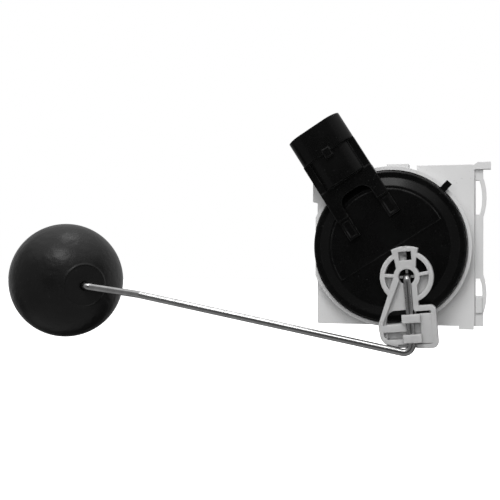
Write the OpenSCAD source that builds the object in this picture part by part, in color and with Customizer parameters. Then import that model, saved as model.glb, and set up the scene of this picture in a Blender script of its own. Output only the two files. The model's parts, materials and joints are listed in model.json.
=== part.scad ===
// Float-arm level sender: mounting plate, sealed sensor with plug shroud, swing lever, wire and ball float.
// Drawn face on: x to the right, y up, z the height above the plate's back.
// The lever's pivot axis is at x = y = 0.

/* [Mounting plate] */
// Width of the plate without its side rail
plate_w = 65.1; // [60:0.1:80]
// Height of the plate
plate_h = 66.4; // [62:0.1:80]
// Thickness of the plate
plate_t = 3; // [2.4:0.1:4]
// Distance from the pivot axis to the plate's left edge
pivot_from_left = 38.7; // [36:0.1:46]
// Distance from the pivot axis to the plate's lower edge
pivot_from_low = 20.5; // [18:0.1:26]
// Width of the side rail
rail_w = 3.5; // [3:0.1:5]
// Thickness of the side rail
rail_t = 1.8; // [1.2:0.1:2.4]
// Length of each spring bow on the rail
bow_len = 16; // [12:0.5:20]
// How far a spring bow stands out of the rail
bow_rise = 1.3; // [0.8:0.1:2]
// Thickness of a spring bow
bow_t = 1.7; // [1.2:0.1:2]
// Height of the ring seat's wall above the plate
seat_h = 5; // [3:0.1:6]
// Thickness of the ring seat's wall
seat_wall = 1.5; // [1.2:0.1:2.4]

/* [Sensor body] */
// Outer radius of the sensor body
body_r = 31.1; // [29:0.1:34]
// Distance from the pivot axis to the middle of the body
body_offset = 14.5; // [13:0.1:16]
// Lean of the plug's axis to the left of upright, in degrees
plug_tilt = 32.2; // [20:0.1:40]
// Height of the body's rim above the plate's back
rim_h = 11.4; // [10:0.1:13]
// Height of the body's face above its rim
face_rise = 1.6; // [1:0.1:2.2]
// Width of the flat rim
rim_w = 2.8; // [2:0.1:3.4]
// Width of the sloping shoulder inside the rim
shoulder_w = 3.4; // [2.4:0.1:4]
// Thickness of the body's face
face_t = 2.2; // [2:0.1:2.6]
// Thickness of the body's side wall
body_wall = 1.8; // [1.2:0.1:2.2]
// Height of the D-shaped panel above the face
panel_rise = 0.6; // [0.3:0.1:1]
// Radius of the D-shaped panel's round side
panel_r = 23.6; // [22:0.1:24]
// Distance from the pivot axis to the panel's straight side
panel_from_pivot = 12.8; // [12.7:0.1:14]
// Reach of the locking lug beyond the rim
lug_reach = 4.5; // [3:0.1:5]

/* [Plug shroud] */
// Width of the shroud's collar
collar_w = 24.1; // [22:0.1:27]
// Depth of the shroud's collar, front to back
collar_d = 12.6; // [11.6:0.1:13.4]
// Length of the collar along the plug's axis
collar_len = 11.9; // [9:0.1:13]
// Distance from the body's middle to the shroud's mouth
mouth_from_body = 57.5; // [54:0.5:66]
// Width of the barrel below the collar
barrel_w = 19.4; // [18:0.1:21]
// Depth of the barrel below the collar
barrel_d = 10.6; // [10:0.1:11.4]
// Wall of the shroud
shroud_wall = 1.4; // [1:0.1:1.6]
// Width of each leg and foot
leg_w = 5.2; // [4:0.1:6]
// Width of a terminal blade
blade_w = 2.2; // [1.6:0.1:2.8]
// Thickness of a terminal blade
blade_t = 0.8; // [0.6:0.1:1]
// Distance between neighbouring terminals
blade_pitch = 5; // [4:0.1:5.6]

/* [Lever] */
// Outer radius of the lever's ring
ring_r = 10.6; // [10:0.1:11.4]
// Width of the ring's band
ring_band = 1.9; // [1.6:0.1:2.2]
// Outer radius of the lever's ear
ear_r = 12.4; // [11.8:0.1:12.6]
// Outer radius of the hub
hub_r = 5.2; // [4.8:0.1:5.6]
// Radius of the opening in the hub
hub_open_r = 3.2; // [2.8:0.1:3.6]
// Height of the lever from its underside to its ribs
lever_h = 5.5; // [4.8:0.1:6.5]
// Depth of the channel between the ribs
channel_d = 2.2; // [1.6:0.1:2.6]
// Width of a rib
rib_w = 1.7; // [1.2:0.1:2]
// Lean of the lever at rest, in degrees
lever_lean = 4.7; // [0:0.1:10]
// Travel of the lever between its stops, in degrees
lever_travel = 55; // [30:1:56]

/* [Float wire] */
// Diameter of the wire
wire_d = 3; // [2.5:0.1:3.4]
// Length from the pivot axis to the lower corner
crank_len = 31.2; // [30.8:0.1:34]
// Length of the straight run
run_len = 119; // [80:1:180]
// Slope of the straight run, in degrees
run_slope = 11; // [0:0.5:20]
// Length of the forward jog beside the float
jog_len = 23.9; // [16:0.1:30]
// Turn of the jog towards the front, in degrees
jog_turn = 44; // [30:0.1:60]
// Slope of the jog, in degrees
jog_slope = 9.7; // [0:0.1:20]
// Radius of the wire's open bends, at its middle line
bend_r = 3.4; // [3:0.1:5]
// Radius of the wire's tight bends at its two ends, at its middle line
tight_r = 2.2; // [2:0.1:2.8]

/* [Float] */
// Radius of the ball
ball_r = 24.9; // [18:0.1:30]
// Radius of the flat round the wire at each end of the ball
boss_r = 9.1; // [7:0.1:10]
// Wall of the ball
ball_wall = 1.5; // [1:0.1:2.5]
// Wall of the tube through the ball
tube_wall = 1.6; // [1:0.1:2.5]
// Slope of the ball's axis, in degrees
ball_slope = 4.1; // [0:0.1:8]

/* [Fits] */
// Radial clearance of a turning fit
run_fit = 0.05; // [0.03:0.01:0.09]
// Clearance of a piece pushed into its place
push_fit = 0.02; // [0.01:0.01:0.05]
// Clearance between pieces that are laid side by side
lay_gap = 0.1; // [0.05:0.01:0.2]

/* [Hidden] */
$fn = 96;
arc_steps = 7;
eps = 0.2;
wire_r = wire_d / 2;
plate_left = -pivot_from_left;
plate_right = plate_left + plate_w;
plate_low = -pivot_from_low;
plate_top = plate_low + plate_h;
rail_right = plate_right + rail_w;
edge_round = 0.6;
seat_gap = 0.6;
seat_in = body_r + seat_gap;
seat_out = seat_in + seat_wall;
seat_top = plate_t + seat_h;
ear_t = 2;
seal_t = 0.6;
body_low = plate_t + seal_t;
face_h = rim_h + face_rise;
panel_h = face_h + panel_rise;
rim_in = body_r - rim_w;
face_r = rim_in - shoulder_w;
cavity_r = body_r - body_wall;
cavity_top = face_h - face_t;
rim_bevel = 0.5;
panel_edge = panel_from_pivot - body_offset;
bush_r = wire_r + 1.5;
flange_r = bush_r + 1.3;
flange_t = 0.3;
lever_low = face_h + flange_t + 2 * lay_gap;
lever_top = lever_low + lever_h;
floor_h = lever_top - channel_d;
wire_h = floor_h + wire_r + 2 * lay_gap;
boss_low = cavity_top - 4.3;
clip_t = 0.6;
plug_mid_h = 14;
barrel_low = 32.4;
socket_low = barrel_low + 3.6;
collar_low = mouth_from_body - collar_len;
leg_out = collar_w / 2;
leg_in = leg_out - leg_w;
leg_top_h = 16.6;
leg_low_h = panel_h + lay_gap;
leg_end = 19;
foot_low = 10;
foot_t = 1;
block_low_h = seat_top + 2 * lay_gap;
blade_h = plug_mid_h;
blade_end = mouth_from_body - 9;
drop_at = body_r + lay_gap + eps;
slot_from = 20;
lead_h = cavity_top - 1.2;
card_t = 0.8;
card_top = cavity_top - lay_gap;
card_low = card_top - card_t;
track_t = 0.15;
foil_t = 0.15;
spacer_t = 0.45;
cover_t = 1.1;
track_r = 8.6;
track_w = 2.2;
magnet_w = 3.2;
magnet_len = 4.4;
flat_at = sqrt(ball_r * ball_r - boss_r * boss_r);
ball_gap = 0.1;
ball_from_corner = tight_r + ball_gap + flat_at;
wire_tail = 2 * flat_at + tight_r + ball_gap + clip_t + 2 * lay_gap + 1.2;

// Geometry helpers

function unit(v) = v / norm(v);
function short_turn(a) = a - 360 * round(a / 360);
function arc_points(c, r, start, turn) =
    [for (i = [0:arc_steps]) c + r * [cos(start + turn * i / arc_steps), sin(start + turn * i / arc_steps)]];
function corner_points(p, q, n, r) =
    let (u = unit(p - q), v = unit(n - q), half = acos(u * v) / 2, reach = r / tan(half))
    let (c = q + unit(u + v) * r / sin(half), s = q + u * reach - c, e = q + v * reach - c)
    let (start = atan2(s.y, s.x))
    arc_points(c, r, start, short_turn(atan2(e.y, e.x) - start));
function xy(p) = [p.x, p.y];
function smooth(pts) = [for (i = [0:len(pts) - 1])
    let (q = pts[i], p = pts[(i + len(pts) - 1) % len(pts)], n = pts[(i + 1) % len(pts)])
    each (q.z > 0 ? corner_points(xy(p), xy(q), xy(n), q.z) : [xy(q)])];
function side(p, deg) = [p.x * cos(deg) - p.y * sin(deg), p.x * sin(deg) + p.y * cos(deg)];

module face_on() rotate([90, 0, 0]) children();
module at_body() rotate([0, 0, plug_tilt]) translate([0, body_offset, 0]) children();
module body_frame() face_on() at_body() children();
module lever_frame() face_on() rotate([0, 0, lever_lean]) children();
module slab(low, high) translate([0, 0, low]) linear_extrude(high - low) children();
module tube(r_out, r_in, low, high) slab(low, high) difference() {
    circle(r_out);
    circle(r_in);
}
module sector(r_out, r_in, from, turn, low, high) rotate([0, 0, from]) rotate_extrude(angle = turn)
    translate([r_in, low]) square([r_out - r_in, high - low]);
module box(x0, x1, y0, y1, low, high) translate([x0, y0, low]) cube([x1 - x0, y1 - y0, high - low]);
module stadium(w, d) {
    square([w - d, d], center = true);
    for (s = [-1, 1]) translate([s * (w - d) / 2, 0]) circle(d / 2);
}
module along_plug(from, to) translate([0, to, 0]) rotate([90, 0, 0]) linear_extrude(to - from)
    translate([0, plug_mid_h]) children();

// Mounting plate

rail_bows = [[plate_top - 13.5, -7, 7], [plate_low + 13.1, -0.6, 6.5]];
lug_left = -9.1;
lug_right = -0.1;
notch_right = 3.1;
notch_depth = 1.9;
pad_low = plate_low + 5.4;
pad_len = 6.4;
pad_rise = 0.7;
bow_round_r = (bow_len * bow_len / 4 + bow_rise * bow_rise) / (2 * bow_rise);

module bow_round(y, r) translate([rail_right + bow_rise - bow_round_r, y]) circle(r);
module rail_outline() difference() {
    union() {
        translate([plate_right - eps, plate_low]) square([rail_w + eps, plate_h - 2]);
        for (b = rail_bows) intersection() {
            bow_round(b[0], bow_round_r);
            translate([plate_right, b[0] - bow_len / 2]) square([rail_w + 2 * bow_rise, bow_len]);
        }
    }
    for (b = rail_bows) intersection() {
        bow_round(b[0], bow_round_r - bow_t);
        translate([plate_right + 0.5, b[0] + b[1]]) square([rail_w + bow_rise, b[2] - b[1]]);
    }
}
module plate_outline() {
    difference() {
        polygon(smooth([[plate_left, plate_low, edge_round], [plate_right, plate_low, 0],
            [plate_right, plate_top, edge_round], [plate_left, plate_top, edge_round]]));
        translate([plate_left + 14, plate_top - 1.7]) square([lug_left - plate_left - 14, 4]);
        translate([lug_right, plate_top - notch_depth]) square([notch_right - lug_right, 2 * notch_depth]);
    }
    polygon([[plate_left + eps, plate_top - 15.2], [plate_left - ear_t, plate_top - 14.6],
        [plate_left - ear_t, plate_top], [plate_left + eps, plate_top]]);
    polygon([[plate_right - 1, plate_top - 1], [plate_right, plate_top], [plate_right + 1.2, plate_top + 1],
        [rail_right + 3, plate_top + 1], [rail_right + 3, plate_top - 2], [plate_right - 1, plate_top - 2]]);
    translate([plate_right - 6.3, plate_low - 1.4]) square([6, 1.4 + eps]);
}
module seat() intersection() {
    at_body() tube(seat_out, seat_in, plate_t - eps, seat_top);
    box(plate_left, plate_right, plate_low, plate_top + 1, 0, seat_top + 1);
}
module lug() difference() {
    box(lug_left, lug_right, plate_top - 1.2, plate_top + 0.5, 0, seat_top - 1.5);
    at_body() slab(plate_t, seat_top + 1) circle(seat_in);
}
module mounting_plate() color("whitesmoke") face_on() {
    slab(0, plate_t) plate_outline();
    slab(0, rail_t) rail_outline();
    seat();
    lug();
    box(plate_right + 0.4, rail_right - 0.5, pad_low, pad_low + pad_len, rail_t - eps, rail_t + pad_rise);
}

// Sensor body

module shell_profile() difference() {
    polygon([[0, face_h], [face_r, face_h], [rim_in, rim_h], [body_r - rim_bevel, rim_h],
        [body_r, rim_h - rim_bevel], [body_r, body_low], [0, body_low]]);
    polygon([[-eps, cavity_top], [face_r - 0.8, cavity_top], [rim_in - 0.8, rim_h - body_wall],
        [cavity_r, rim_h - body_wall], [cavity_r, body_low - eps], [-eps, body_low - eps]]);
}
module at_pivot() translate([0, -body_offset, 0]) children();
function terminal_x(i) = (i - 2) * blade_pitch;
module terminal_cut(i, half, from, to, low, high)
    box(terminal_x(i) - half, terminal_x(i) + half, from, to, low, high);
module terminal_slot(i) terminal_cut(i, blade_w / 2 + lay_gap, slot_from, drop_at + blade_t + lay_gap,
    lead_h - blade_t - lay_gap, lead_h + lay_gap);
lug_angle = 47;
lug_half = 1.3;
stop_angle = 200;
stop_half = 6;
stop_slack = 1.5;
stop_r = ring_r - ring_band / 2;
stop_w = 1.4;
stop_depth = 1;
module sensor_housing() color("black") body_frame() difference() {
    union() {
        rotate_extrude() shell_profile();
        slab(face_h - eps, panel_h) intersection() {
            circle(panel_r);
            translate([-panel_r, panel_edge]) square([2 * panel_r, 2 * panel_r]);
        }
        rotate([0, 0, lug_angle - plug_tilt])
            box(cavity_r + eps, body_r + lug_reach, -lug_half, lug_half, seat_top + 2 * lay_gap, rim_h - 1);
        at_pivot() slab(boss_low, cavity_top + eps) circle(bush_r + 2);
    }
    at_pivot() slab(boss_low - 1, face_h + 1) circle(bush_r + push_fit);
    at_pivot() sector(stop_r + stop_w / 2 + 2 * lay_gap, stop_r - stop_w / 2 - 2 * lay_gap,
        stop_angle + lever_lean - plug_tilt - stop_half - stop_slack - lever_travel,
        lever_travel + 2 * (stop_half + stop_slack), face_h - stop_depth - 2 * lay_gap, face_h + 1);
    for (i = [1:3]) terminal_slot(i);
}
module housing_seal() color("dimgray") body_frame()
    tube(body_r, cavity_r + lay_gap, plate_t + push_fit, body_low - push_fit);
cover_posts = [[-7, -5.5], [11, -5.5], [11, -15]];
module back_cap() color("black") body_frame() {
    slab(plate_t + lay_gap, plate_t + lay_gap + 1.6) circle(cavity_r - lay_gap);
    for (p = cover_posts) translate([p.x, p.y, 0])
        slab(plate_t + 1, card_low - spacer_t - foil_t - cover_t - lay_gap) circle(1.2);
}
module pivot_bush() color("black") face_on() {
    tube(bush_r, wire_r + run_fit, boss_low, face_h + flange_t);
    tube(flange_r, wire_r + run_fit, face_h + push_fit, face_h + flange_t);
}
module pivot_clip() color("silver") face_on() difference() {
    tube(3.4, wire_r + push_fit, boss_low - clip_t - 2 * lay_gap, boss_low - 2 * lay_gap);
    for (a = [0:60:300]) rotate([0, 0, a]) box(1, 2.5, -0.2, 0.2, 0, boss_low);
}

// Measuring cell

card_left = -9;
card_right = 13;
card_down = -17;
card_up = 0;
cell_up = card_up - 3.2;
sweep_mid = 90 + lever_lean - lever_travel / 2 - plug_tilt;
sweep_half = lever_travel / 2 + 12;
finger_step = 4.5;
module cell_outline(up, inset) difference() {
    translate([card_left + inset, card_down + inset])
        square([card_right - card_left - 2 * inset, up - card_down - 2 * inset]);
    at_pivot() circle(bush_r + 2 + lay_gap + inset);
}
module sweep_band(r_out, r_in, more, low, high)
    sector(r_out, r_in, sweep_mid - sweep_half - more, 2 * (sweep_half + more), low, high);
module ceramic_card() color("white") body_frame() slab(card_low, card_top) cell_outline(card_up, 0);
module resistor_track() color("dimgray") body_frame() at_pivot()
    sweep_band(track_r + track_w / 2, track_r - track_w / 2, 0, card_low - track_t, card_low);
module spacer_frame() color("orange") body_frame() difference() {
    slab(card_low - spacer_t, card_low) cell_outline(cell_up, 0);
    at_pivot() sweep_band(track_r + track_w, track_r - track_w / 2 - 0.4, 3,
        card_low - 2 * spacer_t, card_low + spacer_t);
}
module contact_foil() color("gold") body_frame() at_pivot() {
    low = card_low - spacer_t - foil_t;
    finger_w = finger_step * 0.6;
    sweep_band(track_r + track_w + 0.8, track_r + track_w / 2, 0, low, low + foil_t);
    for (a = [-sweep_half + finger_step / 2 : finger_step : sweep_half - finger_step / 2])
        sector(track_r + track_w / 2 + eps, track_r - track_w / 2, sweep_mid + a, finger_w,
            low, low + foil_t);
}
module card_cover() color("silver") body_frame() {
    high = card_low - spacer_t - foil_t;
    difference() {
        slab(high - cover_t, high) cell_outline(cell_up, 0);
        slab(high - cover_t + 0.4, high + 1) cell_outline(cell_up, 0.6);
    }
}
strip_half = 0.6;
module lead_strips() color("gold") body_frame() for (i = [1:3])
    terminal_cut(i, strip_half, card_up - 2.4, cavity_r - 4, lead_h + push_fit, card_low - push_fit);
module terminal(i) color("gold") body_frame() translate([terminal_x(i) - blade_w / 2, 0, 0])
    rotate([90, 0, 90]) linear_extrude(blade_w)
    polygon([[blade_end, blade_h - blade_t / 2], [blade_end, blade_h + blade_t / 2],
        [drop_at, blade_h + blade_t / 2], [drop_at, lead_h], [cavity_r - 6, lead_h],
        [cavity_r - 6, lead_h - blade_t], [drop_at + blade_t, lead_h - blade_t],
        [drop_at + blade_t, blade_h - blade_t / 2]]);
module terminal_1() terminal(1);
module terminal_2() terminal(2);
module terminal_3() terminal(3);

// Plug shroud

module terminal_room(i) {
    half = blade_w / 2 + push_fit;
    low = blade_h - blade_t / 2 - push_fit;
    high = blade_h + blade_t / 2 + push_fit;
    terminal_cut(i, half, drop_at - push_fit, socket_low + 1, low, high);
    terminal_cut(i, half, drop_at - push_fit, drop_at + blade_t + push_fit, 0, high);
    terminal_cut(i, half, slot_from, drop_at + blade_t + push_fit,
        lead_h - blade_t - lay_gap, lead_h + lay_gap);
}
arch_top = 27.2;
arch_r = 4.5;
catch_half = 1.6;
module arch(low, high) slab(low, high) polygon(smooth([[-leg_in, leg_end - 1, 0], [leg_in, leg_end - 1, 0],
    [leg_in, arch_top, arch_r], [-leg_in, arch_top, arch_r]]));
module at_legs() for (s = [-1, 1]) translate([s * (leg_out - leg_w / 2), 0, 0]) children();
module connector_shroud() color("black") body_frame() difference() {
    union() {
        along_plug(collar_low, mouth_from_body) stadium(collar_w, collar_d);
        along_plug(barrel_low, collar_low + eps) stadium(barrel_w, barrel_d);
        for (s = [-1, 1]) box(min(s * leg_out, s * (leg_out - 3.4)), max(s * leg_out, s * (leg_out - 3.4)),
            barrel_low - 4, collar_low + eps, plug_mid_h - 2.4, plug_mid_h + 2.4);
        box(-leg_out, leg_out, leg_end, barrel_low, block_low_h, leg_top_h);
        at_legs() box(-leg_w / 2 + 0.1, leg_w / 2 - 0.1, foot_low, leg_end + eps,
            leg_low_h, leg_low_h + foot_t);
        box(-catch_half, catch_half, collar_low - 2.2, collar_low + shroud_wall,
            plug_mid_h + barrel_d / 2 - 1, plug_mid_h + collar_d / 2 + 0.6);
    }
    along_plug(collar_low + shroud_wall, mouth_from_body + 1)
        stadium(collar_w - 2 * shroud_wall, collar_d - 2 * shroud_wall);
    along_plug(socket_low, mouth_from_body) stadium(barrel_w - 2 * shroud_wall, barrel_d - 2 * shroud_wall);
    slab(0, rim_h + lay_gap) circle(body_r + lay_gap);
    slab(0, leg_low_h) circle(rim_in + lay_gap);
    arch(leg_low_h - 1, leg_top_h + 1);
    box(-leg_in, leg_in, 0, leg_end + eps, 0, leg_top_h + 1);
    at_legs() box(-leg_w / 2 + 1.2, leg_w / 2 - 1.2, foot_low + 1.1, leg_end - 1.3,
        leg_low_h + foot_t - 0.5, leg_low_h + 4);
    for (i = [1:3]) terminal_room(i);
}

// Lever

ear_half = 25.5;
window_low = hub_r + 1.5;
window_high = ear_r - 2.2;
window_half = 2.5;
magnet_left = 0.5 - magnet_w;
magnet_start = window_low - 0.7;
magnet_top = lever_top - 1.8;
spoke_angles = [7.6, 172];
arm_left = [-12.9, -18.8];
box_low = -29;
box_right = 10.4;
box_top = -11.7;
clip_bar = 3.3;
clip_end = 4.1;
module arm_outline() polygon(smooth([[-3.75, 3.8, 0], [arm_left.x, arm_left.y, 5], [-12.3, -24.4, 4],
    [-9.2, -28.3, 2.6], [box_right, box_low, 2.2], [box_right, box_top, 2.4],
    [hub_r - 1.4, box_top, 0.5], [hub_r - 1.4, 0, 0]]));
module ear_outline() {
    half_w = ear_r * sin(ear_half);
    polygon(concat([[-3.8, 3.4], [-4.3, ring_r - 3.5]],
        [for (i = [0:arc_steps]) side([0, ear_r], ear_half - 2 * ear_half * i / arc_steps)],
        [[4.3, ring_r - 3.5], [3.8, 3.4]]));
}
module lever_outline() {
    circle(ring_r);
    ear_outline();
    arm_outline();
}
module ring_windows() difference() {
    circle(ring_r - ring_band);
    circle(hub_r);
    ear_outline();
    arm_outline();
    for (a = spoke_angles) rotate([0, 0, a]) translate([0, -0.65]) square([ring_r, 1.3]);
}
module half_plane(above) translate([-ring_r, above ? 0.6 : 0.6 - 2 * ring_r])
    square([2 * ring_r, 2 * ring_r]);
groove_half = wire_r + 0.35;
groove_turn = run_slope + lever_lean;
bend_room = groove_half + 3.6;
wall_in = box_right - 2;
function groove_edge(u) = groove_half / cos(groove_turn) - crank_len - u * tan(groove_turn);
module channel_outline() polygon(smooth([[-3.75 + rib_w / 2, -0.9, 0], [arm_left.x + rib_w, arm_left.y, 4],
    [-10.7, -24.9, 2.4], [-groove_half, -24.9, 0.3], [-groove_half, -26.9, 0], [-bend_room, -26.9, 0],
    [-bend_room, groove_edge(-bend_room), 0], [-16, groove_edge(-16), 0], [-16, box_low - 5, 0],
    [groove_half, box_low - 5, 0], [groove_half, -27.1, 0], [wall_in, -27.1, 0.8],
    [wall_in, box_top - 2.2, 0.5], [wire_r + 0.15, box_top - 2.2, 0.2], [wire_r + 0.15, -0.9, 0]]));
module side_window() polygon(smooth([[-10, -18.7, 0.4], [-8.7, -13.4, 3.6], [wire_r + 0.4, -13.2, 0.4],
    [wire_r + 0.4, -18.7, 0.3]]));
module clip(y) {
    low = wire_h + wire_r + lay_gap;
    box(-wire_r - 1.6, clip_end, y, y + clip_bar, low, low + 1.5);
    box(wire_r + 0.3, clip_end, y, y + clip_bar, floor_h - eps, low + eps);
    box(-wire_r - 1.6, -wire_r - 0.3, y, y + clip_bar, wire_h + 0.4, low + eps);
}
module swing_lever() color("white") lever_frame() {
    difference() {
        slab(lever_low, lever_top) lever_outline();
        slab(lever_low - 1, lever_top + 1) circle(hub_open_r);
        slab(lever_low - 1, lever_top + 1) intersection() {
            ring_windows();
            half_plane(true);
        }
        slab(lever_low + 2, lever_top + 1) intersection() {
            ring_windows();
            half_plane(false);
        }
        slab(floor_h, lever_top + 1) channel_outline();
        slab(lever_low - 1, lever_top) side_window();
        box(wire_r + 0.8, box_right - 2.2, box_top - 3.3, box_top - 2.2, lever_low - 1, lever_top + 1);
        box(-9.6, -wire_r - 0.3, -24.8, -21.9, lever_low + 0.8, lever_top);
        slab(lever_top - 2.4, lever_top + 1) translate([-0.5, ear_r - 0.9]) square([1, 2]);
        box(magnet_w / 2 - 1.1, window_half, window_low, window_high, lever_low - 1, lever_top + 1);
        box(-window_half, window_half, window_low, window_high, magnet_top, lever_top + 1);
        box(magnet_left - push_fit, magnet_left + magnet_w + push_fit, magnet_start - push_fit,
            magnet_start + magnet_len + push_fit, lever_low - 1, magnet_top + eps);
    }
    for (a = [0:90:270]) rotate([0, 0, a])
        box(wire_r + push_fit, hub_open_r + eps, -0.5, 0.5, lever_low, floor_h - 1.2);
    box(arm_left.x + rib_w, -wire_r - 0.15, -21.8, -18.9, lever_low, lever_top);
    box(clip_end - 0.1, box_right - 1.9, -26.9, box_top - 3.2, floor_h - eps, lever_top - 0.1);
    clip(-18.3);
    clip(-26.3);
    sector(stop_r + stop_w / 2, stop_r - stop_w / 2, stop_angle - stop_half, 2 * stop_half,
        face_h - stop_depth, lever_low + eps);
}
module lever_magnet() color("gray") lever_frame() box(magnet_left, magnet_left + magnet_w,
    magnet_start, magnet_start + magnet_len, lever_low + lay_gap, magnet_top - push_fit);

// Float wire: straight runs and true bends along a route of corners

function travel(turn, slope) = [-cos(turn) * cos(slope), sin(slope), sin(turn) * cos(slope)];
run_dir = travel(0, run_slope);
jog_dir = travel(jog_turn, jog_slope);
ball_dir = [-sin(jog_turn) * cos(ball_slope), sin(ball_slope), -cos(jog_turn) * cos(ball_slope)];
crank_dir = [sin(lever_lean), -cos(lever_lean), 0];
corner_top = [0, 0, wire_h];
corner_low = corner_top + crank_len * crank_dir;
corner_kink = corner_low + run_len * run_dir;
corner_ball = corner_kink + jog_len * jog_dir;
pivot_end = [0, 0, boss_low - clip_t - 4 * lay_gap];
route = [pivot_end, corner_top, corner_low, corner_kink, corner_ball, corner_ball + wire_tail * ball_dir];
bend_swell = 0.02;
bend_lap = 0.2;
route_bends = [0, tight_r, bend_r, bend_r, tight_r, 0];
function turn_at(i) = acos(unit(route[i] - route[i - 1]) * unit(route[i + 1] - route[i]));
function reach_at(i) = route_bends[i] == 0 ? 0 : route_bends[i] * tan(turn_at(i) / 2);
function lap_at(i) = route_bends[i] == 0 ? 0 : bend_lap;
function frame_of(o, ex, ey, ez) =
    [[ex.x, ey.x, ez.x, o.x], [ex.y, ey.y, ez.y, o.y], [ex.z, ey.z, ez.z, o.z]];
module straight(i) {
    d = unit(route[i + 1] - route[i]);
    across = unit(cross(d, abs(d.z) < 0.9 ? [0, 0, 1] : [1, 0, 0]));
    start = reach_at(i) - lap_at(i);
    multmatrix(frame_of(route[i] + d * start, across, cross(d, across), d))
        cylinder(r = wire_r, h = norm(route[i + 1] - route[i]) - start - reach_at(i + 1) + lap_at(i + 1));
}
module bend(i) {
    u = unit(route[i] - route[i - 1]);
    v = unit(route[i + 1] - route[i]);
    middle = route[i] + unit(v - u) * route_bends[i] / cos(turn_at(i) / 2);
    out = unit(route[i] - u * reach_at(i) - middle);
    multmatrix(frame_of(middle, out, u, cross(out, u))) rotate_extrude(angle = turn_at(i))
        translate([route_bends[i], 0]) circle(wire_r + bend_swell);
}
module float_wire() color("silver") face_on() {
    for (i = [0:len(route) - 2]) straight(i);
    for (i = [1:len(route) - 2]) bend(i);
}

// Float, turned about the wire's last run

module on_ball_axis() {
    across = unit(cross(ball_dir, [0, 1, 0]));
    middle = corner_ball + ball_from_corner * ball_dir;
    face_on() multmatrix(frame_of(middle, across, cross(ball_dir, across), ball_dir)) children();
}
module half_ball(front) rotate_extrude() difference() {
    intersection() {
        circle(ball_r);
        translate([wire_r + run_fit, front ? -flat_at : 0]) square([ball_r, flat_at]);
    }
    difference() {
        circle(ball_r - ball_wall);
        translate([0, -ball_r]) square([wire_r + run_fit + tube_wall, 2 * ball_r]);
        translate([0, flat_at - ball_wall]) square([ball_r, ball_r]);
        translate([0, -flat_at + ball_wall - ball_r]) square([ball_r, ball_r]);
    }
}
module float_front_shell() color("black") on_ball_axis() half_ball(true);
module float_rear_shell() color("black") on_ball_axis() half_ball(false);
module float_clip() color("silver") on_ball_axis() difference() {
    tube(4.4, wire_r + push_fit, flat_at + 2 * lay_gap, flat_at + 2 * lay_gap + clip_t);
    for (a = [0:60:300]) rotate([0, 0, a]) box(1, 2.7, -0.25, 0.25, flat_at, flat_at + 2);
}

mounting_plate();
sensor_housing();
housing_seal();
back_cap();
connector_shroud();
terminal_1();
terminal_2();
terminal_3();
lead_strips();
ceramic_card();
resistor_track();
spacer_frame();
contact_foil();
card_cover();
pivot_bush();
swing_lever();
lever_magnet();
float_wire();
pivot_clip();
float_front_shell();
float_rear_shell();
float_clip();
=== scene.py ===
import json
import math

import bmesh
import bpy
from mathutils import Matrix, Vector


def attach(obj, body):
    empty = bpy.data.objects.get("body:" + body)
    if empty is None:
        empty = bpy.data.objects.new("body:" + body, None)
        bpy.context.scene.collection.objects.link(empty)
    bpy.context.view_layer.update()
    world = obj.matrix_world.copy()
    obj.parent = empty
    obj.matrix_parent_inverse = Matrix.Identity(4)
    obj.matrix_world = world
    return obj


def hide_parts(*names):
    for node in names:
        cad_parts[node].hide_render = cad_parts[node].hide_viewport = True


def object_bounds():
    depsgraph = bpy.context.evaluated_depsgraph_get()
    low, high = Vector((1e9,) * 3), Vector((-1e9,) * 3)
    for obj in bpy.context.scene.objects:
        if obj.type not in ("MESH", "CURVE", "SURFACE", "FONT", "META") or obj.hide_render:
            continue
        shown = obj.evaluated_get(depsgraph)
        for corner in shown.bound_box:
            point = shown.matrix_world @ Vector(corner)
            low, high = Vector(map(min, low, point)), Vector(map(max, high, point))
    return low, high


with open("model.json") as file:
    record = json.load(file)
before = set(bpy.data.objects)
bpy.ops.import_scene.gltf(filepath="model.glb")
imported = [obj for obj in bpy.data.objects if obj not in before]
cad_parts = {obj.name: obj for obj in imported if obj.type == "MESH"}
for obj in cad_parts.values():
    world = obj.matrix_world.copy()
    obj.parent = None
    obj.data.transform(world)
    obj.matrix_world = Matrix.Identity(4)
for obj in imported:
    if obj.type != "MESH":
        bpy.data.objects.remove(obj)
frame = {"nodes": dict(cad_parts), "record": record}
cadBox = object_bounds()
nodes = frame["nodes"]
print("frame loaded:", len(nodes), "nodes")


def linkObject(name, data):
    item = bpy.data.objects.new(name, data)
    bpy.context.scene.collection.objects.link(item)
    return item


# camera
cameraSet = {
    "place": (0.02635, -0.38345, 0.0108),  # m
    "turn": 14.0,  # degrees to the left of straight ahead
    "lens": 64.8,  # mm
    "sensor": 36.0,  # mm
    "near": 0.01,
    "far": 20.0,
}


def placeCamera(settings):
    data = bpy.data.cameras.new("camera")
    data.sensor_width = settings["sensor"]
    data.lens = settings["lens"]
    data.clip_start = settings["near"]
    data.clip_end = settings["far"]
    camera = linkObject("camera", data)
    camera.location = settings["place"]
    camera.rotation_euler = (math.radians(90), 0, math.radians(settings["turn"]))
    bpy.context.scene.camera = camera


placeCamera(cameraSet)
print("camera placed")


# small helpers for node trees
def addNode(tree, kind, **settings):
    node = tree.nodes.new(kind)
    for name, value in settings.items():
        setattr(node, name, value)
    return node


def fillSocket(tree, socket, value):  # a link or a plain value
    if isinstance(value, bpy.types.NodeSocket):
        tree.links.new(value, socket)
    else:
        socket.default_value = value


def feed(tree, node, **values):
    for name, value in values.items():
        fillSocket(tree, node.inputs[name.replace("_", " ")], value)
    return node


def mathNode(tree, operation, first, second=0.0, clamp=False):
    node = addNode(tree, "ShaderNodeMath", operation=operation, use_clamp=clamp)
    for socket, value in zip(node.inputs, (first, second)):
        fillSocket(tree, socket, value)
    return node.outputs[0]


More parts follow.
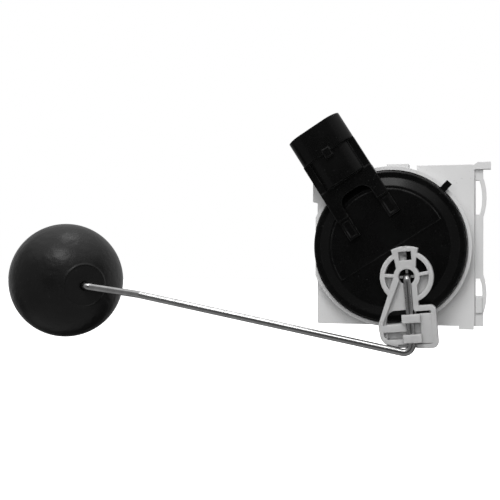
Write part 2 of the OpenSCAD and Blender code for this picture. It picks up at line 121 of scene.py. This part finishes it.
def rampNode(tree, value, low, high, outLow=0.0, outHigh=1.0):
    node = addNode(tree, "ShaderNodeMapRange", clamp=True)
    feed(tree, node, Value=value, From_Min=low, From_Max=high, To_Min=outLow, To_Max=outHigh)
    return node.outputs[0]


def mixColour(tree, factor, first, second):
    node = addNode(tree, "ShaderNodeMix", data_type="RGBA")
    for socket, value in ((node.inputs[0], factor), (node.inputs[6], first), (node.inputs[7], second)):
        fillSocket(tree, socket, value)
    return node.outputs[2]


def noiseNode(tree, place, scale, detail=3.0, roughness=0.5):
    node = addNode(tree, "ShaderNodeTexNoise")
    feed(tree, node, Vector=place, Scale=scale, Detail=detail, Roughness=roughness)
    return node.outputs["Fac"]


def newGroup(name, inputs, outputs):
    tree = bpy.data.node_groups.new(name, "ShaderNodeTree")
    for label, kind, value in inputs:
        socket = tree.interface.new_socket(label, in_out="INPUT", socket_type=kind)
        if value is not None:
            socket.default_value = value
    for label, kind in outputs:
        tree.interface.new_socket(label, in_out="OUTPUT", socket_type=kind)
    return tree, tree.nodes.new("NodeGroupInput"), tree.nodes.new("NodeGroupOutput")


def useGroup(tree, group, **values):
    node = addNode(tree, "ShaderNodeGroup", node_tree=group)
    return feed(tree, node, **values)


grainSet = {
    "pitShare": 0.6,
    "pitSoftness": 0.7,
    "fineShare": 0.5,
    "flowBand": (0.3, 0.7),
    "dustScale": 0.45,  # of the grain's own scale
    "dustBand": (0.71, 0.76),
}


def makeGrainGroup(settings):  # fine moulded grain with slow flow marks
    tree, start, end = newGroup(
        "mouldedGrain",
        [("Place", "NodeSocketVector", None), ("Grain Scale", "NodeSocketFloat", 2600.0),
         ("Flow Scale", "NodeSocketFloat", 60.0), ("Seed", "NodeSocketFloat", 0.0)],
        [("Height", "NodeSocketFloat"), ("Flow", "NodeSocketFloat"), ("Speck", "NodeSocketFloat")],
    )
    shift = addNode(tree, "ShaderNodeVectorMath", operation="ADD")
    tree.links.new(start.outputs["Place"], shift.inputs[0])
    tree.links.new(start.outputs["Seed"], shift.inputs[1])
    place = shift.outputs[0]
    pits = addNode(tree, "ShaderNodeTexVoronoi", feature="SMOOTH_F1")
    feed(tree, pits, Vector=place, Scale=start.outputs["Grain Scale"], Smoothness=settings["pitSoftness"])
    fine = noiseNode(tree, place, start.outputs["Grain Scale"], detail=2.0)
    coarse = mathNode(tree, "MULTIPLY", pits.outputs["Distance"], settings["pitShare"])
    fine = mathNode(tree, "MULTIPLY", fine, settings["fineShare"])
    tree.links.new(mathNode(tree, "ADD", coarse, fine), end.inputs["Height"])
    flow = noiseNode(tree, place, start.outputs["Flow Scale"], detail=4.0, roughness=0.6)
    tree.links.new(rampNode(tree, flow, *settings["flowBand"]), end.inputs["Flow"])
    dustScale = mathNode(tree, "MULTIPLY", start.outputs["Grain Scale"], settings["dustScale"])
    dust = noiseNode(tree, place, dustScale, detail=1.0)
    tree.links.new(rampNode(tree, dust, *settings["dustBand"]), end.inputs["Speck"])
    return tree


edgeSet = {
    "samples": 6,
    "bendBand": (0.995, 0.85),  # from flat to sharp, as the cosine between the two normals
    "patchBand": (0.42, 0.62),
}


def makeEdgeGroup(settings):  # an edge mask, used as rubbed, worn edges on most finishes and as painted highlight lines on the black body, and a normal that softens the edge
    tree, start, end = newGroup(
        "edgeWear",
        [("Place", "NodeSocketVector", None), ("Radius", "NodeSocketFloat", 0.0003),
         ("Breakup", "NodeSocketFloat", 900.0)],
        [("Wear", "NodeSocketFloat"), ("Normal", "NodeSocketVector")],
    )
    soft = addNode(tree, "ShaderNodeBevel", samples=settings["samples"])
    tree.links.new(start.outputs["Radius"], soft.inputs["Radius"])
    plain = addNode(tree, "ShaderNodeNewGeometry")
    match = addNode(tree, "ShaderNodeVectorMath", operation="DOT_PRODUCT")
    tree.links.new(soft.outputs["Normal"], match.inputs[0])
    tree.links.new(plain.outputs["Normal"], match.inputs[1])
    edge = rampNode(tree, match.outputs["Value"], *settings["bendBand"])
    patches = noiseNode(tree, start.outputs["Place"], start.outputs["Breakup"], detail=4.0, roughness=0.65)
    broken = rampNode(tree, patches, *settings["patchBand"])
    tree.links.new(mathNode(tree, "MULTIPLY", edge, broken, clamp=True), end.inputs["Wear"])
    tree.links.new(soft.outputs["Normal"], end.inputs["Normal"])
    return tree


drawnSet = {
    "stretch": (0.02, 1.0, 1.0),
    "stainScale": 0.06,  # of the lines' own scale
    "stainBand": (0.35, 0.7),
}


def makeDrawnGroup(settings):  # long fine lines left by drawing or brushing
    tree, start, end = newGroup(
        "drawnLines",
        [("Place", "NodeSocketVector", None), ("Turn", "NodeSocketFloat", 0.0),
         ("Lines", "NodeSocketFloat", 4000.0)],
        [("Height", "NodeSocketFloat"), ("Stain", "NodeSocketFloat")],
    )
    turned = addNode(tree, "ShaderNodeVectorRotate", rotation_type="Y_AXIS")
    tree.links.new(start.outputs["Place"], turned.inputs["Vector"])
    tree.links.new(start.outputs["Turn"], turned.inputs["Angle"])
    stretch = addNode(tree, "ShaderNodeVectorMath", operation="MULTIPLY")
    tree.links.new(turned.outputs[0], stretch.inputs[0])
    stretch.inputs[1].default_value = settings["stretch"]
    lines = noiseNode(tree, stretch.outputs[0], start.outputs["Lines"], detail=3.0)
    tree.links.new(lines, end.inputs["Height"])
    stainScale = mathNode(tree, "MULTIPLY", start.outputs["Lines"], settings["stainScale"])
    stain = noiseNode(tree, turned.outputs[0], stainScale, detail=4.0, roughness=0.6)
    tree.links.new(rampNode(tree, stain, *settings["stainBand"]), end.inputs["Stain"])
    return tree


grainGroup = makeGrainGroup(grainSet)
edgeGroup = makeEdgeGroup(edgeSet)
drawnGroup = makeDrawnGroup(drawnSet)
print("shared effects made")

finishSet = {  # what a finish has unless it says otherwise
    "specular": 0.5,
    "depthGlow": 0.0,  # light carried inside a pale plastic
    "glowReach": 0.001,
    "wave": 0.00002,  # height of the slow unevenness of a moulded face
    "waveScale": 150.0,
    "flowRough": 0.05,
    "wearRough": 0.1,
    "stainRough": 0.12,
    "lineDepth": 0.00002,
    "metalBreakup": 900.0,
}


def grey(value):
    return (value, value, value, 1.0)


def startMaterial(name, settings):
    material = bpy.data.materials.new(name)
    material.use_nodes = True
    tree = material.node_tree
    shader = tree.nodes["Principled BSDF"]
    shader.inputs["Specular IOR Level"].default_value = settings["specular"]
    shader.inputs["Subsurface Weight"].default_value = settings["depthGlow"]
    shader.inputs["Subsurface Scale"].default_value = settings["glowReach"]
    shader.inputs["Subsurface Radius"].default_value = (1.0, 1.0, 1.0)
    place = addNode(tree, "ShaderNodeTexCoord").outputs["Object"]
    return material, tree, shader, place


def plasticMaterial(name, settings):
    material, tree, shader, place = startMaterial(name, settings)
    grain = useGroup(tree, grainGroup, Place=place, Grain_Scale=settings["grain"],
                     Flow_Scale=settings["flow"], Seed=settings["seed"])
    edge = useGroup(tree, edgeGroup, Place=place, Radius=settings["edgeRadius"], Breakup=settings["breakup"])
    base = mixColour(tree, grain.outputs["Flow"], settings["colour"], settings["flowColour"])
    specks = mathNode(tree, "MULTIPLY", grain.outputs["Speck"], settings["speck"])
    base = mixColour(tree, specks, base, settings["speckColour"])
    # lighter edges: rubbed, worn edges on most finishes; on the black body a painted highlight line along
    # each rounded edge
    rubbedAndHighlit = mathNode(tree, "MULTIPLY", edge.outputs["Wear"], settings["wearAndHighlight"])
    base = mixColour(tree, rubbedAndHighlit, base, settings["wearAndHighlightColour"])
    middle, swing = settings["roughness"], settings["flowRough"]
    rough = rampNode(tree, grain.outputs["Flow"], 0, 1, middle - swing, middle + swing)
    rubbedRough = mathNode(tree, "MULTIPLY", edge.outputs["Wear"], settings["wearRough"])
    rough = mathNode(tree, "ADD", rough, rubbedRough)
    unevenness = noiseNode(tree, place, settings["waveScale"], detail=2.0, roughness=0.4)
    wave = addNode(tree, "ShaderNodeBump")
    feed(tree, wave, Strength=1.0, Distance=settings["wave"],
         Height=unevenness, Normal=edge.outputs["Normal"])
    bump = addNode(tree, "ShaderNodeBump")
    feed(tree, bump, Strength=settings["bump"], Distance=settings["depth"],
         Height=grain.outputs["Height"], Normal=wave.outputs[0])
    feed(tree, shader, Base_Color=base, Roughness=rough, Normal=bump.outputs[0])
    return material


def metalMaterial(name, settings):
    material, tree, shader, place = startMaterial(name, settings)
    linePlace = place
    if "attribute" in settings:  # the pattern follows the piece itself
        follow = addNode(tree, "ShaderNodeAttribute", attribute_name=settings["attribute"])
        linePlace = follow.outputs["Vector"]
    drawn = useGroup(tree, drawnGroup, Place=linePlace, Turn=math.radians(settings["turn"]),
                     Lines=settings["lines"])
    edge = useGroup(tree, edgeGroup, Place=place, Radius=settings["edgeRadius"],
                    Breakup=settings["metalBreakup"])
    base = mixColour(tree, drawn.outputs["Stain"], settings["colour"], settings["stainColour"])
    base = mixColour(tree, edge.outputs["Wear"], base, settings["wearAndHighlightColour"])
    clean = settings["roughness"]
    rough = rampNode(tree, drawn.outputs["Stain"], 0, 1, clean, clean + settings["stainRough"])
    bump = addNode(tree, "ShaderNodeBump")
    feed(tree, bump, Strength=settings["bump"], Distance=settings["lineDepth"],
         Height=drawn.outputs["Height"], Normal=edge.outputs["Normal"])
    shader.inputs["Specular Tint"].default_value = settings.get("edgeTint", grey(1.0))
    feed(tree, shader, Base_Color=base, Metallic=1.0, Roughness=rough, Normal=bump.outputs[0])
    return material


plasticFinishes = {
    "plate_plastic": dict(
        colour=grey(0.64), flowColour=grey(0.60), speckColour=grey(0.30), wearAndHighlightColour=grey(0.66),
        grain=2400.0, flow=45.0, seed=0.1, edgeRadius=0.00035, breakup=700.0,
        speck=0.25, wearAndHighlight=0.5, roughness=0.46, bump=0.25, depth=0.00003),
    "lever_plastic": dict(
        colour=grey(0.52), flowColour=grey(0.47), speckColour=grey(0.25), wearAndHighlightColour=grey(0.60),
        grain=2800.0, flow=90.0, seed=0.7, edgeRadius=0.00035, breakup=900.0,
        speck=0.3, wearAndHighlight=0.5, roughness=0.42, bump=0.25, depth=0.00003,
        depthGlow=0.7, glowReach=0.003),
    # the body's lighter edge colour at full edge strength paints highlight lines along its rounded edges
    "body_plastic": dict(
        colour=grey(0.0014), flowColour=grey(0.0022), speckColour=grey(0.02), wearAndHighlightColour=grey(0.028),
        grain=2600.0, flow=70.0, seed=0.3, edgeRadius=0.0007, breakup=260.0,
        speck=0.4, wearAndHighlight=1.0, roughness=0.27, bump=0.3, depth=0.00003, specular=0.30),
    "float_plastic": dict(
        colour=grey(0.0045), flowColour=grey(0.0070), speckColour=grey(0.03), wearAndHighlightColour=grey(0.02),
        grain=2000.0, flow=50.0, seed=0.9, edgeRadius=0.0003, breakup=800.0,
        speck=0.35, wearAndHighlight=0.4, roughness=0.31, bump=0.45, depth=0.00004, specular=0.4,
        wave=0.00022, waveScale=330.0),
    "seal_rubber": dict(
        colour=grey(0.02), flowColour=grey(0.03), speckColour=grey(0.06), wearAndHighlightColour=grey(0.04),
        grain=1800.0, flow=80.0, seed=0.2, edgeRadius=0.0002, breakup=700.0,
        speck=0.4, wearAndHighlight=0.3, roughness=0.7, bump=0.4, depth=0.00004),
    "card_ceramic": dict(
        colour=(0.80, 0.78, 0.72, 1), flowColour=(0.76, 0.74, 0.68, 1),
        speckColour=grey(0.5), wearAndHighlightColour=grey(0.85),
        grain=3200.0, flow=120.0, seed=0.5, edgeRadius=0.0001, breakup=900.0,
        speck=0.3, wearAndHighlight=0.3, roughness=0.5, bump=0.2, depth=0.00002),
    "track_ink": dict(
        colour=grey(0.03), flowColour=grey(0.04), speckColour=grey(0.08), wearAndHighlightColour=grey(0.06),
        grain=3200.0, flow=150.0, seed=0.6, edgeRadius=0.00005, breakup=900.0,
        speck=0.4, wearAndHighlight=0.3, roughness=0.55, bump=0.3, depth=0.00002),
    "spacer_film": dict(
        colour=(0.50, 0.22, 0.04, 1), flowColour=(0.44, 0.19, 0.03, 1),
        speckColour=grey(0.2), wearAndHighlightColour=(0.6, 0.3, 0.1, 1),
        grain=3000.0, flow=120.0, seed=0.8, edgeRadius=0.00005, breakup=900.0,
        speck=0.3, wearAndHighlight=0.3, roughness=0.35, bump=0.2, depth=0.00002),
    "magnet_ferrite": dict(
        colour=grey(0.06), flowColour=grey(0.34), speckColour=grey(0.5), wearAndHighlightColour=grey(0.4),
        grain=1500.0, flow=600.0, seed=0.4, edgeRadius=0.0002, breakup=700.0,
        speck=0.6, wearAndHighlight=0.6, roughness=0.5, bump=0.6, depth=0.00008),
}
metalFinishes = {
    "wire_steel": dict(
        colour=grey(0.74), stainColour=grey(0.56), wearAndHighlightColour=grey(0.8), edgeTint=grey(0.35),
        turn=0.0, lines=4200.0, edgeRadius=0.0001, roughness=0.17, bump=0.35, attribute="wirePlace"),
    "cover_steel": dict(
        colour=grey(0.5), stainColour=grey(0.42), wearAndHighlightColour=grey(0.6),
        turn=30.0, lines=4000.0, edgeRadius=0.0001, roughness=0.3, bump=0.2),
    "clip_steel": dict(
        colour=grey(0.42), stainColour=grey(0.3), wearAndHighlightColour=grey(0.6),
        turn=60.0, lines=4000.0, edgeRadius=0.0001, roughness=0.3, bump=0.2),
    "terminal_brass": dict(
        colour=(0.72, 0.55, 0.25, 1), stainColour=(0.6, 0.44, 0.2, 1), wearAndHighlightColour=(0.8, 0.65, 0.35, 1),
        turn=-57.8, lines=4000.0, edgeRadius=0.0001, roughness=0.25, bump=0.15),
}

materials = {}
for slotName, settings in plasticFinishes.items():
    materials[slotName] = plasticMaterial(slotName, {**finishSet, **settings})
for slotName, settings in metalFinishes.items():
    materials[slotName] = metalMaterial(slotName, {**finishSet, **settings})
for subpart in frame["record"]["subparts"]:
    for slot in nodes[subpart["node"]].material_slots:
        slot.material = materials[subpart["material_slot"]]
print("materials made:", len(materials))


# float wire, swept along its bends
wireSet = {
    "diameter": 0.0030,
    "heightAtPivot": 0.0055,  # heights stand in front of the plate's back
    "heightOfRun": 0.0185,
    "crank": 0.0312,
    "lean": 4.7,  # degrees, as are the slopes and the turn
    "run": 0.1190,
    "runSlope": 11.0,
    "jog": 0.0239,
    "jogTurn": 44.0,
    "jogSlope": 9.7,
    "bend": 0.0034,
    "endBend": 0.0022,
    "tail": 0.05065,  # the stretch through the ball
    "sides": 40,
    "stepsInBend": 12,
}
joints = {joint["name"]: joint for joint in frame["record"]["behaviour"]["joints"]}
ballCentre = Vector(joints["float_spin"]["pos_m"])
ballAxis = Vector(joints["float_spin"]["axis"]).normalized()


def leftward(turn, slope):  # to the left, turned to the front and upwards
    turn, slope = math.radians(turn), math.radians(slope)
    return Vector((-math.cos(turn) * math.cos(slope), -math.sin(turn) * math.cos(slope), math.sin(slope)))


def wireRoute(settings):
    lean = math.radians(settings["lean"])
    start = Vector((0, -settings["heightAtPivot"], 0))
    top = Vector((0, -settings["heightOfRun"], 0))
    low = top + settings["crank"] * Vector((math.sin(lean), 0, -math.cos(lean)))
    kink = low + settings["run"] * leftward(0, settings["runSlope"])
    corner = kink + settings["jog"] * leftward(settings["jogTurn"], settings["jogSlope"])
    end = corner + settings["tail"] * ballAxis
    radii = (0, settings["endBend"], settings["bend"], settings["bend"], settings["endBend"], 0)
    return list(zip((start, top, low, kink, corner, end), radii))


def sweepTree(material):  # a round bar along a path, with true bends
    tree = bpy.data.node_groups.new("bentBar", "GeometryNodeTree")
    for label, kind in (("Geometry", "NodeSocketGeometry"), ("Diameter", "NodeSocketFloat"),
                        ("Sides", "NodeSocketInt"), ("Steps In Bend", "NodeSocketInt")):
        tree.interface.new_socket(label, in_out="INPUT", socket_type=kind)
    tree.interface.new_socket("Geometry", in_out="OUTPUT", socket_type="NodeSocketGeometry")
    start, end = tree.nodes.new("NodeGroupInput"), tree.nodes.new("NodeGroupOutput")
    link = tree.links.new
    path = tree.nodes.new("GeometryNodeMeshToCurve")
    link(start.outputs["Geometry"], path.inputs["Mesh"])
    radius = addNode(tree, "GeometryNodeInputNamedAttribute", data_type="FLOAT")
    radius.inputs["Name"].default_value = "bendRadius"
    fillet = addNode(tree, "GeometryNodeFilletCurve", mode="POLY")
    link(path.outputs["Curve"], fillet.inputs["Curve"])
    link(radius.outputs[0], fillet.inputs["Radius"])
    link(start.outputs["Steps In Bend"], fillet.inputs["Count"])
    along = tree.nodes.new("GeometryNodeSplineParameter")
    keepLength = addNode(tree, "GeometryNodeStoreNamedAttribute", data_type="FLOAT", domain="POINT")
    keepLength.inputs["Name"].default_value = "alongBar"
    link(fillet.outputs["Curve"], keepLength.inputs["Geometry"])
    link(along.outputs["Length"], keepLength.inputs["Value"])
    ring = addNode(tree, "GeometryNodeCurvePrimitiveCircle")
    link(start.outputs["Sides"], ring.inputs["Resolution"])
    link(mathNode(tree, "DIVIDE", start.outputs["Diameter"], 2.0), ring.inputs["Radius"])
    keepRound = addNode(tree, "GeometryNodeStoreNamedAttribute", data_type="FLOAT_VECTOR", domain="POINT")
    keepRound.inputs["Name"].default_value = "roundBar"
    link(ring.outputs["Curve"], keepRound.inputs["Geometry"])
    link(tree.nodes.new("GeometryNodeInputPosition").outputs[0], keepRound.inputs["Value"])
    bar = tree.nodes.new("GeometryNodeCurveToMesh")
    bar.inputs["Fill Caps"].default_value = True
    link(keepLength.outputs["Geometry"], bar.inputs["Curve"])
    link(keepRound.outputs["Geometry"], bar.inputs["Profile Curve"])
    readLength = addNode(tree, "GeometryNodeInputNamedAttribute", data_type="FLOAT")
    readLength.inputs["Name"].default_value = "alongBar"
    readRound = addNode(tree, "GeometryNodeInputNamedAttribute", data_type="FLOAT_VECTOR")
    readRound.inputs["Name"].default_value = "roundBar"
    split = tree.nodes.new("ShaderNodeSeparateXYZ")
    join = tree.nodes.new("ShaderNodeCombineXYZ")
    link(readRound.outputs[0], split.inputs[0])
    link(readLength.outputs[0], join.inputs["X"])
    link(split.outputs["X"], join.inputs["Y"])
    link(split.outputs["Y"], join.inputs["Z"])
    place = addNode(tree, "GeometryNodeStoreNamedAttribute", data_type="FLOAT_VECTOR", domain="POINT")
    place.inputs["Name"].default_value = "wirePlace"
    link(bar.outputs["Mesh"], place.inputs["Geometry"])
    link(join.outputs[0], place.inputs["Value"])
    real = tree.nodes.new("GeometryNodeRealizeInstances")
    link(place.outputs["Geometry"], real.inputs["Geometry"])
    coat = tree.nodes.new("GeometryNodeSetMaterial")
    coat.inputs["Material"].default_value = material
    link(real.outputs["Geometry"], coat.inputs["Geometry"])
    link(coat.outputs["Geometry"], end.inputs["Geometry"])
    return tree


def runTree(host, tree, **values):  # the tree's result as a plain mesh object
    modifier = host.modifiers.new(tree.name, "NODES")
    modifier.node_group = tree
    sockets = {item.name: item.identifier for item in tree.interface.items_tree if item.in_out == "INPUT"}
    for name, value in values.items():
        modifier[sockets[name.replace("_", " ")]] = value
    graph = bpy.context.evaluated_depsgraph_get()
    mesh = bpy.data.meshes.new_from_object(host.evaluated_get(graph))
    name = host.name
    bpy.data.objects.remove(host)
    return linkObject(name, mesh)


def makeWire(settings):
    route = wireRoute(settings)
    mesh = bpy.data.meshes.new("bentWire")
    mesh.from_pydata([point for point, _ in route], [(i, i + 1) for i in range(len(route) - 1)], [])
    mesh.attributes.new("bendRadius", "FLOAT", "POINT").data.foreach_set("value", [r for _, r in route])
    host = linkObject("bentWire", mesh)
    wire = runTree(host, sweepTree(materials["wire_steel"]), Diameter=settings["diameter"],
                   Sides=settings["sides"], Steps_In_Bend=settings["stepsInBend"])
    for face in wire.data.polygons:
        face.use_smooth = len(face.vertices) == 4
    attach(wire, "arm")
    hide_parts("float_wire")


makeWire(wireSet)
print("wire swept")


# ball float, two turned halves
ballSet = {
    "radius": 0.0249,
    "boss": 0.0091,
    "wall": 0.0015,
    "bore": 0.00155,
    "tube": 0.00315,
    "bead": 0.00028,  # height of the fine ridge round the boss
    "beadWidth": 0.0006,
    "beadShape": ((0.1, 0.5), (-0.2, 1.0), (-0.7, 0.8), (-1.0, 0.0)),  # shares of its width and height
    "sink": 0.0021,  # radius of the countersink round the wire
    "sinkDepth": 0.0005,
    "sinkEdge": 0.0002,
    "sinkLip": 0.00008,
    "boreLip": 0.0001,
    "seam": 0.00006,
    "arcShare": 0.985,  # the round face stops just short of the ridge
    "arcSteps": 56,
    "turns": 144,
    "sharpAngle": 28.0,  # degrees
}


def ballProfile(settings):  # (distance from the axis, place along it from the seam outwards)
    radius, boss, wall = settings["radius"], settings["boss"], settings["wall"]
    sink, bore, edge = settings["sink"], settings["bore"], settings["sinkEdge"]
    flat = math.sqrt(radius ** 2 - boss ** 2)
    floor = flat - settings["sinkDepth"]
    last = math.acos(boss / radius)
    points = [(radius - settings["seam"], 0.0)]
    for step in range(1, settings["arcSteps"] + 1):
        angle = last * step / settings["arcSteps"] * settings["arcShare"]
        points.append((radius * math.cos(angle), radius * math.sin(angle)))
    for across, up in settings["beadShape"]:
        points.append((boss + across * settings["beadWidth"], flat + up * settings["bead"]))
    points += [(sink + edge, flat), (sink, flat - settings["sinkLip"])]
    points += [(bore + edge, floor), (bore, floor - settings["boreLip"])]
    points += [(bore, 0.0), (settings["tube"], 0.0), (settings["tube"], flat - wall)]
    inner = radius - wall
    first = math.asin((flat - wall) / inner)
    innerSteps = settings["arcSteps"] // 2
    for step in range(innerSteps + 1):
        angle = first * (1 - step / innerSteps)
        points.append((inner * math.cos(angle), inner * math.sin(angle)))
    return points


def turnPiece(name, profile, centre, axis, steps, sharpAngle, material):
    across = axis.cross(Vector((0, 0, 1))).normalized()
    third = axis.cross(across)
    work = bmesh.new()
    rings = []
    for step in range(steps):
        angle = 2 * math.pi * step / steps
        out = across * math.cos(angle) + third * math.sin(angle)
        rings.append([work.verts.new(centre + out * r + axis * t) for r, t in profile])
    count = len(profile)
    for step in range(steps):
        one, two = rings[step], rings[(step + 1) % steps]
        for i in range(count):
            j = (i + 1) % count
            work.faces.new((one[i], one[j], two[j], two[i]))
    bmesh.ops.recalc_face_normals(work, faces=work.faces)
    for edge in work.edges:
        if edge.calc_face_angle(0) > math.radians(sharpAngle):
            edge.smooth = False
    for face in work.faces:
        face.smooth = True
    mesh = bpy.data.meshes.new(name)
    work.to_mesh(mesh)
    work.free()
    mesh.materials.append(material)
    return linkObject(name, mesh)


def makeBallHalf(name, node, axis, settings):
    half = turnPiece(name, ballProfile(settings), ballCentre, axis, settings["turns"],
                     settings["sharpAngle"], materials["float_plastic"])
    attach(half, "float")
    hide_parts(node)


makeBallHalf("ballFront", "float_front_shell", -ballAxis, ballSet)
makeBallHalf("ballRear", "float_rear_shell", ballAxis, ballSet)
print("ball turned")


# stage and light
stageSet = {
    "floorDrop": 0.075,  # m below the lowest point
    "floorSize": 6.0,
    "floorColour": grey(0.9),
    "floorRoughness": 0.9,
    "glow": 0.9,
}
skySet = {
    "colour": grey(1.0),
    "front": 0.02,
    "around": 0.17,
    "behind": 0.45,
    "above": 0.75,
    "below": 0.24,
    "groundBehind": 0.05,
    "frontBand": (-0.985, -0.90),  # bands are stretches of the direction's backward or upward part
    "behindBand": (0.0, 0.6),
    "aboveBand": (0.4, 0.85),
    "belowBand": (-0.75, -0.4),
    "belowBackBand": (0.3, 0.6),
    "groundBand": (-0.5, -0.1),
    "groundFrontBand": (-0.1, 0.1),
}
lightAim = (-0.05, 0, 0.01)
lightSet = {
    "topLight": dict(place=(-0.09, -0.42, 0.56), size=(0.30, 0.20), power=0.62, glossy=True),
    "topSoftLight": dict(place=(-0.09, -0.42, 0.56), size=(0.30, 0.20), power=1.6, glossy=False),
    "overLight": dict(place=(-0.13, 0.06, 0.62), size=(0.22, 0.16), power=0.30, glossy=True),
    "fillLight": dict(place=(-0.05, -0.85, 0.28), size=(1.0, 0.8), power=5.2, glossy=False),
    "backLight": dict(place=(0.15, 0.80, 0.45), size=(0.8, 0.6), power=3.0, glossy=False),
}


def makeFloor(settings, lowest):
    work = bmesh.new()
    half = settings["floorSize"] / 2
    z = lowest - settings["floorDrop"]
    corners = ((-half, -half), (half, -half), (half, half), (-half, half))
    work.faces.new([work.verts.new((x, y, z)) for x, y in corners])
    mesh = bpy.data.meshes.new("floor")
    work.to_mesh(mesh)
    work.free()
    floor = linkObject("floor", mesh)
    material = bpy.data.materials.new("paleFloor")
    material.use_nodes = True
    shader = material.node_tree.nodes["Principled BSDF"]
    shader.inputs["Base Color"].default_value = settings["floorColour"]
    shader.inputs["Roughness"].default_value = settings["floorRoughness"]
    shader.inputs["Specular IOR Level"].default_value = 0.0
    shader.inputs["Emission Color"].default_value = grey(1.0)
    shader.inputs["Emission Strength"].default_value = settings["glow"]
    mesh.materials.append(material)
    floor.visible_glossy = False
    floor.visible_diffuse = False


def addLight(name, settings):
    data = bpy.data.lights.new(name, "AREA")
    data.shape = "RECTANGLE"
    data.size, data.size_y = settings["size"]
    data.energy = settings["power"]
    light = linkObject(name, data)
    light.location = settings["place"]
    aim = Vector(lightAim) - Vector(settings["place"])
    light.rotation_euler = aim.to_track_quat("-Z", "Y").to_euler()
    light.visible_glossy = settings["glossy"]


def makeSky(settings):  # bright above and behind, dimmer below and in front; plain white to the eye
    world = bpy.data.worlds.new("sky")
    bpy.context.scene.world = world
    world.use_nodes = True
    tree = world.node_tree
    tree.nodes.clear()
    place = addNode(tree, "ShaderNodeTexCoord").outputs["Generated"]
    split = addNode(tree, "ShaderNodeSeparateXYZ")
    tree.links.new(place, split.inputs[0])
    back, up = split.outputs["Y"], split.outputs["Z"]
    around = rampNode(tree, back, *settings["frontBand"], settings["front"], settings["around"])
    behind = rampNode(tree, back, *settings["behindBand"], 0.0, settings["behind"])
    behind = mathNode(tree, "MAXIMUM", around, behind)
    above = rampNode(tree, up, *settings["aboveBand"], 0.0, settings["above"])
    below = mathNode(tree, "MULTIPLY", rampNode(tree, up, *settings["belowBand"], settings["below"], 0.0),
                     rampNode(tree, back, *settings["belowBackBand"], 1.0, 0.0))
    ground = rampNode(tree, up, *settings["groundBand"], settings["groundBehind"], 1.0)
    shade = mathNode(tree, "MAXIMUM", ground, rampNode(tree, back, *settings["groundFrontBand"], 1.0, 0.0))
    level = mathNode(tree, "MAXIMUM", mathNode(tree, "MULTIPLY", behind, shade), above)
    level = mathNode(tree, "MAXIMUM", level, below)
    lit = addNode(tree, "ShaderNodeBackground")
    feed(tree, lit, Color=settings["colour"], Strength=level)
    seen = addNode(tree, "ShaderNodeBackground")
    feed(tree, seen, Color=settings["colour"], Strength=1.0)
    pick = addNode(tree, "ShaderNodeMixShader")
    ray = addNode(tree, "ShaderNodeLightPath")
    tree.links.new(ray.outputs["Is Camera Ray"], pick.inputs[0])
    tree.links.new(lit.outputs[0], pick.inputs[1])
    tree.links.new(seen.outputs[0], pick.inputs[2])
    end = addNode(tree, "ShaderNodeOutputWorld")
    tree.links.new(pick.outputs[0], end.inputs[0])


makeFloor(stageSet, cadBox[0].z)
for lightName, settings in lightSet.items():
    addLight(lightName, settings)
makeSky(skySet)
bpy.context.scene.view_settings.view_transform = "Standard"
print("stage lit")
